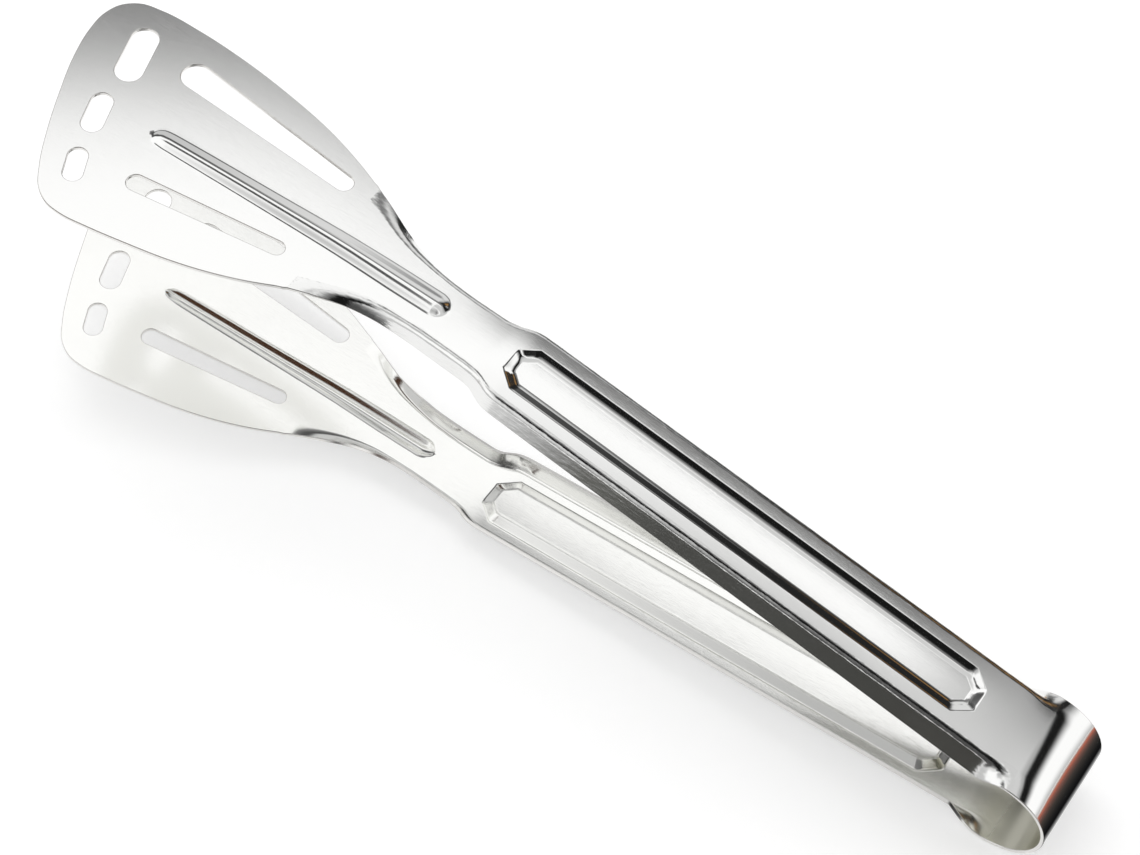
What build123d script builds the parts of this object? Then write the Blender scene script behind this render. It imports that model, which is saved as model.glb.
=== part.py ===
"""Barbecue tongs folded from one stamped strip of stainless steel.

The tongs lie on their lower handle, as they rest on a table. Each arm is
drawn in its own flat frame first: s runs along the handle from the bow to
the tip, v runs across it, and n is the depth inwards from the outer face.
The upper arm is the lower arm mirrored across the plane between the two.
All lengths are in millimetres. Tables hold shares of the main sizes.
"""
import math
import os

from build123d import *

# Main sizes
ARM_LENGTH = 275.3
HANDLE_HALF_WIDTH = 12.5
FLANGE_LENGTH = 4.97
HEAD_HALF_WIDTH = 32.3
SHEET = 1.0
BOW_RADIUS = 14.6
HALF_OPENING_DEG = 6.95

# The strip is a little wider at the bow than the splayed handle
BOW_WIDTH_SHARE = 1.072
BOW_HALF_WIDTH = HANDLE_HALF_WIDTH * BOW_WIDTH_SHARE

# Bend between the plate and its side flanges, which splay outwards
FOLD_RADIUS = 1.5
FOLD_SHARES = (0.0, 1 / 3, 2 / 3, 1.0)

# The head leans inwards from the front of the handle, then curves
LEAN_SLOPE = 0.102
LEAN_START_SHARE = 0.52307
CURVE_START_SHARE = 0.58663
CURVE_DROP = 1.8
LEAN_START = ARM_LENGTH * LEAN_START_SHARE
CURVE_START = ARM_LENGTH * CURVE_START_SHARE

# Stations along one arm: s as a share of the arm's length, half widths on the
# far and the near side as shares of the handle's, the flanges' fold angle in
# degrees, and the flanges' straight part as a share of the flange length
FLARE_SHARES = (
    (0.0, 1.072, 1.072, 1.0, 0.5433),
    (0.00363, 1.08, 1.08, 12.0, 0.5835),
    (0.01053, 1.088, 1.088, 26.0, 0.664),
    (0.01562, 1.084, 1.084, 40.0, 0.7445),
    (0.02179, 1.064, 1.064, 54.0, 0.8652),
    (0.02615, 1.04, 1.04, 62.0, 0.9457),
    (0.03124, 1.012, 1.012, 68.0, 1.0),
)
HANDLE_SHARES = (
    (0.14748, 1.0024, 1.0024, 68.0, 0.9356),
    (0.32982, 0.9856, 0.9856, 68.0, 0.8209),
    (0.50672, 0.972, 0.972, 68.0, 0.7304),
)
STEP_SHARES = (
    (0.51435, 0.956, 0.956, 68.0, 0.7243),
    (0.5198, 0.924, 0.924, 68.0, 0.7243),
    (0.52525, 0.876, 0.876, 68.0, 0.7042),
    (0.53069, 0.8264, 0.8264, 68.0, 0.664),
    (0.53614, 0.7944, 0.7944, 68.0, 0.6237),
    (0.54341, 0.776, 0.776, 68.0, 0.6237),
)
NECK_SHARES = (
    (0.56811, 0.78, 0.752, 68.0, 0.6237),
    (0.59753, 0.8072, 0.7328, 68.0, 0.5835),
    (0.61206, 0.8512, 0.7464, 64.0, 0.5231),
    (0.62659, 0.9184, 0.7784, 56.0, 0.4628),
    (0.64185, 0.9968, 0.84, 46.0, 0.4024),
    (0.65674, 1.0944, 0.9272, 34.0, 0.3421),
    (0.67163, 1.2248, 1.0472, 21.0, 0.3219),
    (0.68652, 1.3608, 1.1776, 10.0, 0.3018),
    (0.70142, 1.484, 1.3176, 1.0, 0.3219),
)
STATION_SHARES = FLARE_SHARES + HANDLE_SHARES + STEP_SHARES + NECK_SHARES

# Outline of the flat head from the near side round the tip: s as a share of
# the arm's length, v as a share of the head's half width
HEAD_NEAR_SHARES = (
    (0.70142, 0.5099), (0.73302, 0.6502), (0.76171, 0.7523), (0.79332, 0.839),
    (0.83255, 0.9164), (0.86596, 0.9721), (0.88994, 1.0),
)
HEAD_TIP_SHARES = (
    (0.88994, 1.0), (0.90665, 0.9876), (0.92263, 0.9133), (0.93607, 0.7709),
    (0.95496, 0.4985), (0.97421, 0.1641), (0.98874, -0.1238), (0.99818, -0.4056),
    (1.0, -0.5759), (0.99491, -0.7276), (0.9822, -0.8297), (0.96186, -0.8762),
)
HEAD_FAR_SHARES = (
    (0.96186, -0.8762), (0.92336, -0.8978), (0.87904, -0.8885), (0.82347, -0.8421),
    (0.76753, -0.7585), (0.72612, -0.6533), (0.70142, -0.5743),
)
HEAD_FAR_SHARE = 0.8978
PROFILE_SHARES = (0.70142, 0.75867, 0.83092, 0.90318, 0.95737, 1.00795)

# Slots in the head: the centres of their two end circles, placed as the
# outline is, then the circles' radii as shares of the largest slot's
SLOT_RADIUS = 3.4
TIP_SLOT_SHARES = (
    ((0.95387, -0.5789), (0.94297, -0.2879), 1.0, 1.0),
    ((0.93861, 0.0588), (0.93062, 0.2477), 0.779, 0.779),
    ((0.91754, 0.5356), (0.90955, 0.6718), 0.691, 0.691),
)
LONG_SLOT_SHARES = (
    ((0.89393, -0.548), (0.72939, -0.4582), 1.088, 0.706),
    ((0.86233, 0.4644), (0.73193, 0.2879), 0.676, 0.574),
)

# Rib pressed outwards along the head: place, half width and height, as shares
RIB_HALF_WIDTH = 3.1
RIB_HEIGHT = 1.1
RIB_SHARES = (
    (0.58918, -0.0266, 0.29, 0.109),
    (0.59644, -0.0251, 0.71, 0.318),
    (0.60661, -0.0238, 0.968, 0.545),
    (0.6295, -0.0217, 1.0, 0.818),
    (0.67853, -0.018, 0.935, 1.0),
    (0.76753, 0.0093, 0.806, 1.0),
    (0.86306, 0.0443, 0.677, 0.909),
    (0.87505, 0.0489, 0.581, 0.636),
    (0.88158, 0.0526, 0.226, 0.109),
)
RIB_WIDTH_SHARES = (1.0, 0.72, 0.3, -0.3, -0.72, -1.0)
RIB_HEIGHT_SHARES = (0.0, 0.62, 1.0, 1.0, 0.62, 0.0)
RIB_SINK = 0.3
GROOVE_INSET = 0.45

# Long panel pressed inwards into the handle
PANEL_REAR_SHARE = 0.05485
PANEL_FRONT_SHARE = 0.51907
PANEL_REAR = ARM_LENGTH * PANEL_REAR_SHARE
PANEL_FRONT = ARM_LENGTH * PANEL_FRONT_SHARE
PANEL_HALF_WIDTH = 6.25
PANEL_END_HALF_WIDTH = 2.9
PANEL_END_RUN = 4.2
PANEL_DEPTH = 1.3
PANEL_WALL_RUN = 1.5
PLATEAU_GROWTH = 0.5
OVERCUT = 0.2

# The row's origin is at the middle of the bounding box's bottom
MID_S = (ARM_LENGTH - BOW_RADIUS) / 2
MID_V = HEAD_HALF_WIDTH * (1 - HEAD_FAR_SHARE) / 2


def drop(s):
    """Depth of the outer face at s, measured inwards from the handle's face."""
    lean = LEAN_SLOPE * max(s - LEAN_START, 0)
    curve = max(s - CURVE_START, 0) / (ARM_LENGTH - CURVE_START)
    return lean + CURVE_DROP * curve**2


def drop_slope(s):
    """Slope of the outer face at s."""
    span = ARM_LENGTH - CURVE_START
    return LEAN_SLOPE + 2 * CURVE_DROP * max(s - CURVE_START, 0) / span**2


def on_head(point):
    """Place on the head, as s and v, from a pair of shares."""
    return (ARM_LENGTH * point[0], HEAD_HALF_WIDTH * point[1])


def flange_path(half_width, fold_deg, straight):
    """Outer face of one side as (v, n, angle) points, from plate to edge."""
    fold = math.radians(fold_deg)
    radius = FOLD_RADIUS * math.radians(90) / fold
    plate = half_width - radius * math.sin(fold) - straight * math.cos(fold)
    points = []
    for share in FOLD_SHARES:
        angle = fold * share
        v = plate + radius * math.sin(angle)
        points.append((v, radius * (1 - math.cos(angle)), angle))
    v, n, angle = points[-1]
    points.append((v + straight * math.cos(fold), n + straight * math.sin(fold), fold))
    return points


def channel_section(station):
    """Closed cross-section of the folded sheet at one station."""
    s_share, far_share, near_share, fold_deg, length_share = station
    s = ARM_LENGTH * s_share
    straight = FLANGE_LENGTH * length_share
    near_side = flange_path(HANDLE_HALF_WIDTH * near_share, fold_deg, straight)
    far_side = flange_path(HANDLE_HALF_WIDTH * far_share, fold_deg, straight)
    outer = [(v, n) for v, n, a in near_side]
    inner = [(v - SHEET * math.sin(a), n + SHEET * math.cos(a)) for v, n, a in near_side]
    outer_far = [(-v, n) for v, n, a in far_side]
    inner_far = [(-v + SHEET * math.sin(a), n + SHEET * math.cos(a)) for v, n, a in far_side]
    loop = outer + inner[::-1] + inner_far + outer_far[::-1]
    return Face(Wire.make_polygon([(s, v, drop(s) + n) for v, n in loop], close=True))


def head_sheet():
    """Curved flat head, cut to its outline."""
    places = [ARM_LENGTH * share for share in PROFILE_SHARES]
    near, tip, far = [
        [on_head(point) for point in table]
        for table in (HEAD_NEAR_SHARES, HEAD_TIP_SHARES, HEAD_FAR_SHARES)
    ]
    outer = [(s, drop(s)) for s in places]
    inner = [(s, drop(s) + SHEET * math.hypot(1, drop_slope(s))) for s in places]
    with BuildPart() as sheet:
        with BuildSketch(Plane.XZ):
            with BuildLine():
                Spline(*outer)
                Line(outer[-1], inner[-1])
                Spline(*inner)
                Line(inner[0], outer[0])
            make_face()
        extrude(amount=HEAD_HALF_WIDTH + OVERCUT, both=True)
        with BuildSketch():
            with BuildLine():
                Spline(*near)
                Spline(*tip)
                Spline(*far)
                Line(far[-1], near[0])
            make_face()
        extrude(amount=2 * BOW_RADIUS, mode=Mode.INTERSECT)
    return sheet.part


def slot_cutters():
    """Prisms that punch the slots through the head."""
    with BuildPart() as cutters:
        for first, second, first_share, second_share in TIP_SLOT_SHARES + LONG_SLOT_SHARES:
            with BuildSketch():
                with Locations(on_head(first)):
                    Circle(SLOT_RADIUS * first_share)
                with Locations(on_head(second)):
                    Circle(SLOT_RADIUS * second_share)
                make_hull()
            extrude(amount=2 * BOW_RADIUS)
    return cutters.part


def rib_section(station, inset, base):
    """Low arch of the rib at one station, standing outwards from depth base."""
    s, v = on_head(station)
    half_width, height = RIB_HALF_WIDTH * station[2], RIB_HEIGHT * station[3]
    crest = drop(s) + base
    width = max(half_width - inset, half_width / 2)
    points = [
        (s, v + width * across, crest - height * up)
        for across, up in zip(RIB_WIDTH_SHARES, RIB_HEIGHT_SHARES)
    ]
    points += [(s, v - width, crest + RIB_SINK), (s, v + width, crest + RIB_SINK)]
    return Face(Wire.make_polygon(points, close=True))


def rib(inset, base):
    """Rib as one long arch, used for its outside and for its groove."""
    with BuildPart() as arch:
        loft(sections=[rib_section(st, inset, base) for st in RIB_SHARES], ruled=True)
    return arch.part


def panel_outline(inset, depth):
    """Long panel outline with three-sided ends, inset and set at one depth."""
    rear, front = PANEL_REAR + inset, PANEL_FRONT - inset
    side, end = PANEL_HALF_WIDTH - inset, PANEL_END_HALF_WIDTH - inset / 2
    corners = [
        (rear, end), (rear + PANEL_END_RUN, side), (front - PANEL_END_RUN, side),
        (front, end), (front, -end), (front - PANEL_END_RUN, -side),
        (rear + PANEL_END_RUN, -side), (rear, -end),
    ]
    return Face(Wire.make_polygon([(s, v, depth) for s, v in corners], close=True))


def panel_block(grow, top, bottom):
    """Tapered block between two depths: the plateau inside or its pocket."""
    with BuildPart() as block:
        loft(
            sections=[
                panel_outline(-grow, top),
                panel_outline(PANEL_WALL_RUN - grow, bottom),
            ],
            ruled=True,
        )
    return block.part


def arm_solid():
    """One arm in its own flat frame."""
    with BuildPart() as arm:
        loft(sections=[channel_section(st) for st in STATION_SHARES], ruled=True)
        add(head_sheet())
        add(rib(0, 0))
        add(rib(GROOVE_INSET, SHEET), mode=Mode.SUBTRACT)
        add(slot_cutters(), mode=Mode.SUBTRACT)
        add(panel_block(PLATEAU_GROWTH, SHEET - OVERCUT, SHEET + PANEL_DEPTH))
        add(panel_block(0, 0, PANEL_DEPTH), mode=Mode.SUBTRACT)
    return arm.part


def bow_point(radius, angle_deg):
    """Point on a circle about the bow's centre, as s and n."""
    angle = math.radians(angle_deg)
    return (radius * math.cos(angle), BOW_RADIUS + radius * math.sin(angle))


def bow_solid(start_deg, end_deg):
    """One half of the bow, between two directions seen from its centre."""
    middle = (start_deg + end_deg) / 2
    inside = BOW_RADIUS - SHEET
    with BuildPart() as half:
        with BuildSketch(Plane.XZ):
            with BuildLine():
                ThreePointArc(
                    bow_point(BOW_RADIUS, start_deg),
                    bow_point(BOW_RADIUS, middle),
                    bow_point(BOW_RADIUS, end_deg),
                )
                Line(bow_point(BOW_RADIUS, end_deg), bow_point(inside, end_deg))
                ThreePointArc(
                    bow_point(inside, end_deg),
                    bow_point(inside, middle),
                    bow_point(inside, start_deg),
                )
                Line(bow_point(inside, start_deg), bow_point(BOW_RADIUS, start_deg))
            make_face()
        extrude(amount=BOW_HALF_WIDTH, both=True)
    return half.part


PLACE = Location((-MID_S, -MID_V, 0))
BOTTOM_DEG = 270
APEX_DEG = 180 + HALF_OPENING_DEG
TOP_DEG = 90 + 2 * HALF_OPENING_DEG
OPENING = math.radians(HALF_OPENING_DEG)
MIRROR_NORMAL = (-math.sin(OPENING), 0, math.cos(OPENING))
MIRROR_PLANE = Plane(origin=(-MID_S, 0, BOW_RADIUS), z_dir=MIRROR_NORMAL)

with BuildPart() as lower_arm:
    add(arm_solid().moved(PLACE))
lower_arm.part.label = "lower_arm"

with BuildPart() as upper_arm:
    mirror(lower_arm.part, about=MIRROR_PLANE)
upper_arm.part.label = "upper_arm"

with BuildPart() as bow_lower_half:
    add(bow_solid(BOTTOM_DEG, APEX_DEG).moved(PLACE))
bow_lower_half.part.label = "bow_lower_half"

with BuildPart() as bow_upper_half:
    add(bow_solid(APEX_DEG, TOP_DEG).moved(PLACE))
bow_upper_half.part.label = "bow_upper_half"

os.makedirs("parts", exist_ok=True)
export_step(lower_arm.part, "parts/lower_arm.step")
export_step(upper_arm.part, "parts/upper_arm.step")
export_step(bow_lower_half.part, "parts/bow_lower_half.step")
export_step(bow_upper_half.part, "parts/bow_upper_half.step")
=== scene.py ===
# %% [markdown]
# # Barbecue tongs in polished steel
#
# The tongs are one strip of stainless steel. A press stamps a slotted, ribbed
# head on each end and a channel-shaped handle behind it, then the strip is
# bent round a bow that works as the spring. Everything here is therefore one
# thin sheet, and each piece is a surface with a thickness of one millimetre.
#
# The imported CAD model is loaded first. It fixes every size and place.

import math

import bpy
import numpy as np
from mathutils import Matrix
from mathutils.geometry import delaunay_2d_cdt


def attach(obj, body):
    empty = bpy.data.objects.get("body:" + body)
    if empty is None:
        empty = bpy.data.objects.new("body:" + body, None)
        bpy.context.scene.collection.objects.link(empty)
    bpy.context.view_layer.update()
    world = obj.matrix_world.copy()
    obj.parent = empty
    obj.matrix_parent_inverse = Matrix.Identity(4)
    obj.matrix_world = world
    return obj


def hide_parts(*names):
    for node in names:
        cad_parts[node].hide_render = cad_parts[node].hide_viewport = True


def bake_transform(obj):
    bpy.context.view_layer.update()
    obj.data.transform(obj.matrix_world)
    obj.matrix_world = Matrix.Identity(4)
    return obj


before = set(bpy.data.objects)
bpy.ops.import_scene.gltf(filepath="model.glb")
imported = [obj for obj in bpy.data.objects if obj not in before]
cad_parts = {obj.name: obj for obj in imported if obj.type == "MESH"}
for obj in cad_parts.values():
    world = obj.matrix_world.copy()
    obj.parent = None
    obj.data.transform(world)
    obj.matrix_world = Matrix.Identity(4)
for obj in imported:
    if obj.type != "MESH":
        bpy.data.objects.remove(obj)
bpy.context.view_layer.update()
print("CAD nodes:", sorted(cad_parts))

# %% [markdown]
# ## Camera
#
# A photograph's camera can be worked out from known points of the object. Its
# place and its three directions are written as a matrix: the columns are the
# camera's right, up and backward directions, then its place in metres. The
# lens and a small shift put every point of the object where it is in the photo.

# %% Camera at the photograph's viewing angle
PHOTO_WIDTH, PHOTO_HEIGHT = 1140, 855
SENSOR_WIDTH = 36
FOCAL_PIXELS = 2468.9
PRINCIPAL_POINT = (561.79, 436.10)
CAMERA_PLACE = (-0.19459, 0.26009, 0.50711)
CAMERA_RIGHT = (-0.82287, -0.56817, -0.00897)
CAMERA_DOWN = (-0.46297, 0.67949, -0.56917)

camera_data = bpy.data.cameras.new("photo_camera")
camera_data.sensor_width = SENSOR_WIDTH
camera_data.lens = FOCAL_PIXELS / PHOTO_WIDTH * SENSOR_WIDTH
camera_data.shift_x = (PHOTO_WIDTH / 2 - PRINCIPAL_POINT[0]) / PHOTO_WIDTH
camera_data.shift_y = (PRINCIPAL_POINT[1] - PHOTO_HEIGHT / 2) / PHOTO_WIDTH
camera = bpy.data.objects.new("photo_camera", camera_data)
bpy.context.scene.collection.objects.link(camera)
right = np.array(CAMERA_RIGHT)
up = -np.array(CAMERA_DOWN)
back = np.cross(right, up)
columns = np.stack([right, up, back, CAMERA_PLACE], axis=1)
camera.matrix_world = Matrix(np.vstack([columns, (0, 0, 0, 1)]).tolist())
bpy.context.scene.camera = camera
print("lens", round(camera_data.lens, 2), "mm")

# %% [markdown]
# ## The strip's path
#
# Seen from the side, the middle of the strip is one line: straight along the
# handle, bent gently inwards along the head, and rolled round a circle at the
# bow. Each point of the strip is placed by three numbers in millimetres: s
# along that line, v across the strip and n inwards from its outer face. Below
# s = 0 the line is the bow's circle. One function turns them into a place, so
# the arm and the bow meet without a step.

# %% Main sizes in millimetres, as in the part's source
ARM_LENGTH = 275.3
SHEET = 1.0
BOW_RADIUS = 14.6
OPENING = math.radians(6.95)
LEAN_SLOPE, LEAN_START, LEAN_EASE = 0.102, 144.0, 4.0
CURVE_DROP, CURVE_START = 1.8, 161.5
PLATE_HALF = 8.75  # half width of the handle's flat plate
# s, and how far the plate's sides lie further in than its middle
CROWN = np.array([
    (-14, 0), (-10, 0.05), (-6, 0.15), (-3, 0.22), (0, 0.24), (3, 0.21), (6, 0.165),
    (9, 0.145), (140, 0.145), (150, 0.1), (162, 0.02), (168, 0)])
MID_S = (ARM_LENGTH - BOW_RADIUS) / 2
MID_V = 1.65
MM = 0.001
print("arm", ARM_LENGTH, "mm long, handles", round(2 * math.degrees(OPENING), 1), "degrees apart")


def eased_ramp(x, ease):
    """0 before -ease, x after +ease, and a parabola between them that joins both smoothly."""
    return np.where(np.abs(x) < ease, (x + ease) ** 2 / (4 * ease), np.maximum(x, 0))


def place(s, v, n):
    """Point in the arm's own frame. Ahead of the root the path is (s, drop), where drop is a
    lean plus a parabola. Behind it the path is the bow's circle. The point is the path's
    point plus n times the inward normal, and v across. The crown adds to n with the square
    of v."""
    s, v, n = np.broadcast_arrays(np.asarray(s, float), v, n)
    crowned = through(CROWN[:, 0], CROWN[:, 1], s)
    n = n + crowned * (v / PLATE_HALF) ** 2
    ahead = np.maximum(s, 0)
    curve_span = ARM_LENGTH - CURVE_START
    over = np.maximum(ahead - CURVE_START, 0) / curve_span
    drop = LEAN_SLOPE * eased_ramp(ahead - LEAN_START, LEAN_EASE) + CURVE_DROP * over**2
    leaning = np.clip((ahead - LEAN_START + LEAN_EASE) / (2 * LEAN_EASE), 0, 1)
    slope = LEAN_SLOPE * leaning + 2 * CURVE_DROP * over / curve_span
    turn = np.where(s < 0, s / BOW_RADIUS, np.arctan(slope))
    x = np.where(s < 0, BOW_RADIUS * np.sin(turn), ahead)
    z = np.where(s < 0, BOW_RADIUS * (1 - np.cos(turn)), drop)
    return np.stack([x - n * np.sin(turn), v, z + n * np.cos(turn)], axis=-1)


# %% [markdown]
# The press drew the strip through a few stations where its width, the angle
# of its side flanges and their depth were chosen. Between the stations the
# steel flows smoothly, so the tables are read with a cubic curve that passes
# through every row and never overshoots.

# %% Tables of the strip, read smoothly


def through(table_x, table_y, x):
    """Monotone cubic through (table_x, table_y): each row's slope is the harmonic mean of
    its two neighbours' slopes, or 0 where they change sign."""
    step = np.diff(table_x)
    slope = np.diff(table_y) / step
    before, after = slope[:-1], slope[1:]
    mean = np.where(before * after > 0, 2 * before * after / (before + after + 1e-12), 0)
    tangent = np.concatenate([slope[:1], mean, slope[-1:]])
    i = np.clip(np.searchsorted(table_x, x) - 1, 0, len(step) - 1)
    t = np.clip((x - table_x[i]) / step[i], 0, 1)
    a, b = table_y[i], table_y[i + 1]
    ta, tb = tangent[i] * step[i], tangent[i + 1] * step[i]
    return (
        a * (1 + 2 * t) * (1 - t) ** 2 + ta * t * (1 - t) ** 2
        + b * t**2 * (3 - 2 * t) - tb * t**2 * (1 - t)
    )


# s, half width far, half width near, fold of the flanges in degrees, their straight part
STATIONS = np.array([
    (-18, 13.4, 13.4, 0.5, 2.7), (-9, 13.4, 13.4, 1, 2.7), (-4, 13.4, 13.4, 2.6, 2.7),
    (-1.5, 13.4, 13.4, 5, 2.7), (0, 13.42, 13.42, 8, 2.75), (1, 13.5, 13.5, 12, 2.9),
    (2.9, 13.6, 13.6, 26, 3.3), (4.3, 13.55, 13.55, 40, 3.7), (6, 13.3, 13.3, 54, 4.3),
    (7.2, 13, 13, 62, 4.7), (8.6, 12.65, 12.65, 68, 4.97), (40.6, 12.53, 12.53, 68, 4.65),
    (90.8, 12.32, 12.32, 68, 4.08), (139.5, 12.15, 12.15, 68, 3.63),
    (141.6, 11.95, 11.95, 68, 3.6), (143.1, 11.55, 11.55, 68, 3.6),
    (144.6, 10.95, 10.95, 68, 3.5), (146.1, 10.33, 10.33, 68, 3.3), (147.6, 9.93, 9.93, 68, 3.1),
    (149.6, 9.7, 9.7, 68, 3.1), (156.4, 9.75, 9.4, 68, 3.1), (164.5, 10.09, 9.16, 68, 2.9),
    (168.5, 10.64, 9.33, 64, 2.6), (172.5, 11.48, 9.73, 56, 2.3), (176.7, 12.46, 10.5, 46, 2),
    (180.8, 13.68, 11.59, 34, 1.7), (184.9, 15.31, 13.09, 21, 1.6), (189, 17.01, 14.72, 10, 1.5),
    (193.1, 18.55, 16.47, 1, 1.6),
])
FOLD_ARC = 1.5 * math.pi / 2
EDGE = 0.2  # rounding of the cut edges


def side_at(s, near):
    """Plate half width, fold angle, fold radius and straight part at s. The fold's arc
    length stays the same, so its radius is that length over the angle."""
    half = through(STATIONS[:, 0], STATIONS[:, 2 if near else 1], s)
    fold = np.radians(through(STATIONS[:, 0], STATIONS[:, 3], s))
    straight = through(STATIONS[:, 0], STATIONS[:, 4], s)
    radius = FOLD_ARC / fold
    plate = half - radius * np.sin(fold) - straight * np.cos(fold)
    return plate, fold, radius, straight - EDGE


def side_surface(s, q, near, depth):
    """Point of the folded side. q runs from 0 to 1 round the fold and from 1 to 2 along the
    straight flange. depth moves it from the outer face (0) to the inner face (SHEET)."""
    plate, fold, radius, straight = side_at(s, near)
    angle = fold * np.minimum(q, 1)
    along = straight * np.maximum(q - 1, 0)
    v = plate + radius * np.sin(angle) + along * np.cos(fold) - depth * np.sin(angle)
    n = radius * (1 - np.cos(angle)) + along * np.sin(fold) + depth * np.cos(angle)
    return place(s, v if near else -v, n)


# %% [markdown]
# ## Pressed relief
#
# The handle has a long panel pressed inwards and the head a rib pressed
# outwards. Both are heights added to the flat plate, as functions of s and v.
# The panel's height follows the distance to its eight-sided outline, so its
# walls meet in crisp mitres. The rib is an arch across, carried along a table.

# %% Heights of the panel and the rib
PANEL_REAR, PANEL_FRONT = 15.1, 142.9
PANEL_HALF_WIDTH, PANEL_END_HALF_WIDTH, PANEL_END_RUN = 6.25, 2.9, 4.2
PANEL_DEPTH, PANEL_DEPTH_OUTSIDE = 1.3, 1.1
# outer face: the far wall's value, then the near wall's, and the v between which they change
WALL_SLOPES, FOOT_EASES, TOP_EASES = (0.6, 0.47), (0.92, 0.6), (0.1, 0.3)
FAR_TO_NEAR = (-3, 3)
# inner face: a slope between two insets, with its foot and its crest rounded over these
# parts of its width, and the fine line that the die's edge leaves round the plateau
SLOPE_BASE, SLOPE_TOP = -0.6, 1.9
BASE_EASE, CREST_EASES = 0.14, (0.03, 0.08)
SCORE, SCORE_WIDTH = 0.09, 0.13
RIB_NARROWER_INSIDE, RIB_LEAST_HALF = 0.8, 0.3
# s, middle across, half width, height of the rib
RIB = np.array([
    (160.8, -0.86, 0.9, 0), (161.3, -0.85, 1.9, 0.18), (161.8, -0.84, 2.5, 0.4),
    (162.8, -0.82, 3.3, 0.74), (164.5, -0.8, 3.7, 1), (173.3, -0.7, 3.7, 1.08),
    (186.8, -0.58, 3.5, 1.1), (211.3, 0.3, 3.1, 1.05), (238.6, 1.43, 2.8, 0.9),
    (241, 1.55, 2.6, 0.75), (242.3, 1.64, 2.1, 0.45), (243.1, 1.69, 1.3, 0.15),
    (243.4, 1.71, 0.7, 0),
])


def panel_inset(s, v):
    """Distance inwards from the panel's outline: the least of the distances to its sides."""
    rear, front, side = s - PANEL_REAR, PANEL_FRONT - s, PANEL_HALF_WIDTH - np.abs(v)
    rise = PANEL_HALF_WIDTH - PANEL_END_HALF_WIDTH
    across = (np.abs(v) - PANEL_END_HALF_WIDTH) * PANEL_END_RUN
    length = math.hypot(rise, PANEL_END_RUN)
    corners = np.minimum(rear, front) * rise / length - across / length
    return np.minimum(np.minimum(rear, front), np.minimum(side, corners))


def relief(s, v, inner):
    """Height of the pressed shapes, inwards from the plate. The panel's wall is a straight
    slope that levels out into the floor. Inside, a gentler slope rises to the plateau's
    crisp edge. The rib is its height times (1 - x squared) squared."""
    inset = panel_inset(s, v)
    if inner:
        up = (inset - SLOPE_BASE) / (SLOPE_TOP - SLOPE_BASE)
        crest = np.interp(v, FAR_TO_NEAR, CREST_EASES)
        panel = PANEL_DEPTH * (eased_ramp(up, BASE_EASE) - eased_ramp(up - 1, crest))
        panel = panel - SCORE * np.exp(-(((inset - SLOPE_TOP) / SCORE_WIDTH) ** 2))
    else:
        slope, foot_ease, top_ease = (
            np.interp(v, FAR_TO_NEAR, pair) for pair in (WALL_SLOPES, FOOT_EASES, TOP_EASES))
        foot = inset - PANEL_DEPTH_OUTSIDE / slope
        panel = slope * (eased_ramp(inset, top_ease) - eased_ramp(foot, foot_ease))
    middle, half, height = (through(RIB[:, 0], RIB[:, k], s) for k in (1, 2, 3))
    if inner:
        half = np.maximum(half - RIB_NARROWER_INSIDE, RIB_LEAST_HALF)
    arch = np.clip(1 - ((v - middle) / half) ** 2, 0, 1) ** 2
    return panel - height * arch


def plate_surface(s, v, inner=False):
    """Point of the flat part of the arm with its pressed relief."""
    return place(s, v, relief(s, v, inner) + (SHEET if inner else 0))


# %% [markdown]
# ## Outline and slots of the head
#
# The head is cut like a fish slice: wide, with a slanted rounded tip and five
# slots. Its outline is a curve through measured points, and each slot is the
# hull of two circles. Both are kept as loops of points in the plane of s and v.

# %% Outline and slots
HEAD_OUTLINE = np.array([
    (193.1, 16.47), (201.8, 21), (209.7, 24.3), (218.4, 27.1), (229.2, 29.6), (238.4, 31.4),
    (245, 32.3), (249.6, 31.9), (254, 29.5), (257.7, 24.9), (262.9, 16.1), (268.2, 5.3),
    (272.2, -4), (274.8, -13.1), (275.3, -18.6), (273.9, -23.5), (270.4, -26.8), (264.8, -28.3),
    (254.2, -28.97), (242, -28.7), (226.7, -27.2), (211.3, -24.5), (199.9, -21.1),
    (193.1, -18.55),
])
# first circle's middle and radius, second circle's middle and radius
SLOTS = [
    (262.6, -18.7, 3.4, 259.6, -9.3, 3.4), (258.4, 1.9, 2.65, 256.2, 8, 2.65),
    (252.6, 17.3, 2.35, 250.4, 21.7, 2.35), (246.1, -17.7, 3.7, 200.8, -14.8, 2.4),
    (237.4, 15, 2.3, 201.5, 9.3, 1.95),
]


def smooth_curve(points, spacing):
    """Cubic curve through the points, with each tangent from its two neighbours and the
    parameter equal to the chord length, sampled about every spacing."""
    chord = np.linalg.norm(np.diff(points, axis=0), axis=1)
    knots = np.concatenate([[0], np.cumsum(chord)])
    slope = np.diff(points, axis=0) / chord[:, None]
    inner = (slope[:-1] * chord[1:, None] + slope[1:] * chord[:-1, None]) / (
        chord[1:] + chord[:-1])[:, None]
    tangent = np.vstack([slope[:1], inner, slope[-1:]])
    u = np.linspace(0, knots[-1], int(knots[-1] / spacing) + 1)
    i = np.clip(np.searchsorted(knots, u, side="right") - 1, 0, len(chord) - 1)
    t, h = ((u - knots[i]) / chord[i])[:, None], chord[i][:, None]
    return (
        points[i] * (1 + 2 * t) * (1 - t) ** 2 + tangent[i] * h * t * (1 - t) ** 2
        + points[i + 1] * t**2 * (3 - 2 * t) - tangent[i + 1] * h * t**2 * (1 - t)
    )


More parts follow.
